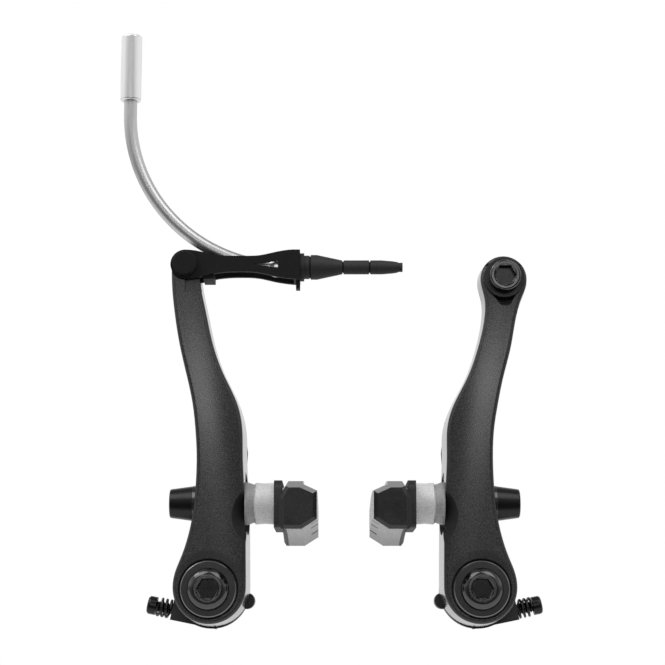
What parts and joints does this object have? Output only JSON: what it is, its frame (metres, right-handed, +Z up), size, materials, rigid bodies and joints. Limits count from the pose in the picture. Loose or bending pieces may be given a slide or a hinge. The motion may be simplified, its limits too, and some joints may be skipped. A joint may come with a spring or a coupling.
{
  "type": "linear-pull bicycle rim brake",
  "caption": "Pair of curved brake arms with pads on posts, pivot bolts, spring cups, a pivoting cable link with a bent guide pipe and rubber boot, and a cable anchor bolt; squeezes a wheel rim.",
  "frame": {"origin": "midway between the two pivot axes, on the plane of the bushes' rear faces", "axes": "+Z up the arms, +X towards the arm with the cable anchor, +Y to the rear, along the pivots into the frame's bosses"},
  "size_m": [0.1367, 0.0709, 0.1928],
  "materials": {
    "arm_paint": "forged aluminium in fine metallic black paint, semi-gloss",
    "black_steel": "black coated steel, semi-gloss",
    "steel": "plain steel",
    "spring_steel": "black spring wire",
    "grey_washer": "matte light grey",
    "pad_rubber": "moulded black rubber",
    "black_plastic": "black moulded plastic",
    "link_paint": "black coated pressed steel",
    "noodle_metal": "satin silver",
    "liner_plastic": "slick white plastic",
    "boot_rubber": "moulded black rubber"
  },
  "bodies": {
    "boss_hardware": {"left_pivot_bush": "steel", "left_pivot_bolt": "black_steel", "left_pivot_washer": "black_steel", "left_spring_cup": "black_plastic", "left_stopper_pin": "steel", "left_tension_spring": "spring_steel", "right_pivot_bush": "steel", "right_pivot_bolt": "black_steel", "right_pivot_washer": "black_steel", "right_spring_cup": "black_plastic", "right_stopper_pin": "steel", "right_tension_spring": "spring_steel"},
    "left_arm": {"left_arm": "arm_paint", "left_return_spring": "spring_steel", "link_pin": "link_paint", "link_clip": "steel"},
    "right_arm": {"right_arm": "arm_paint", "right_return_spring": "spring_steel", "anchor_bolt": "black_steel", "anchor_washer": "black_steel"},
    "link": {"link": "link_paint", "noodle_tube": "noodle_metal", "noodle_liner": "liner_plastic", "noodle_ferrule": "noodle_metal", "noodle_tip": "noodle_metal", "cable_boot": "boot_rubber"},
    "left_shoe": {"left_convex_washer": "grey_washer", "left_concave_spacer": "grey_washer", "left_outer_convex_washer": "grey_washer", "left_cup_washer": "grey_washer", "left_shoe_nut": "black_steel", "left_shoe_post": "steel", "left_brake_pad": "pad_rubber"},
    "right_shoe": {"right_convex_washer": "grey_washer", "right_concave_spacer": "grey_washer", "right_outer_convex_washer": "grey_washer", "right_cup_washer": "grey_washer", "right_shoe_nut": "black_steel", "right_shoe_post": "steel", "right_brake_pad": "pad_rubber"},
    "left_tension_screw": {"left_tension_screw": "black_steel"},
    "right_tension_screw": {"right_tension_screw": "black_steel"}
  },
  "joints": [
    {"name": "left_arm_pivot", "type": "hinge", "parent": "boss_hardware", "child": "left_arm", "pos_m": [-0.0424, 0, 0], "axis": [0, 1, 0], "range_deg": [-25, 6], "stiffness_Nm_per_rad": 1.2, "deforming": ["left_return_spring"]},
    {"name": "right_arm_pivot", "type": "hinge", "parent": "boss_hardware", "child": "right_arm", "pos_m": [0.0424, 0, 0], "axis": [0, -1, 0], "range_deg": [-25, 6], "stiffness_Nm_per_rad": 1.2, "deforming": ["right_return_spring"]},
    {"name": "link_pivot", "type": "hinge", "parent": "left_arm", "child": "link", "pos_m": [-0.051, -0.0186, 0.1029], "axis": [0, -1, 0], "range_deg": [0, 60]},
    {"name": "left_shoe_height", "type": "slide", "parent": "left_arm", "child": "left_shoe", "axis": [0, 0, 1], "range_m": [-0.003, 0.003]},
    {"name": "right_shoe_height", "type": "slide", "parent": "right_arm", "child": "right_shoe", "axis": [0, 0, 1], "range_m": [-0.003, 0.003]},
    {"name": "left_tension_turn", "type": "hinge", "parent": "boss_hardware", "child": "left_tension_screw", "pos_m": [-0.0616, -0.00425, -0.0046], "axis": [-0.9799, 0, 0.1994], "continuous": true},
    {"name": "right_tension_turn", "type": "hinge", "parent": "boss_hardware", "child": "right_tension_screw", "pos_m": [0.0616, -0.00425, -0.0046], "axis": [0.9799, 0, 0.1994], "continuous": true}
  ]
}
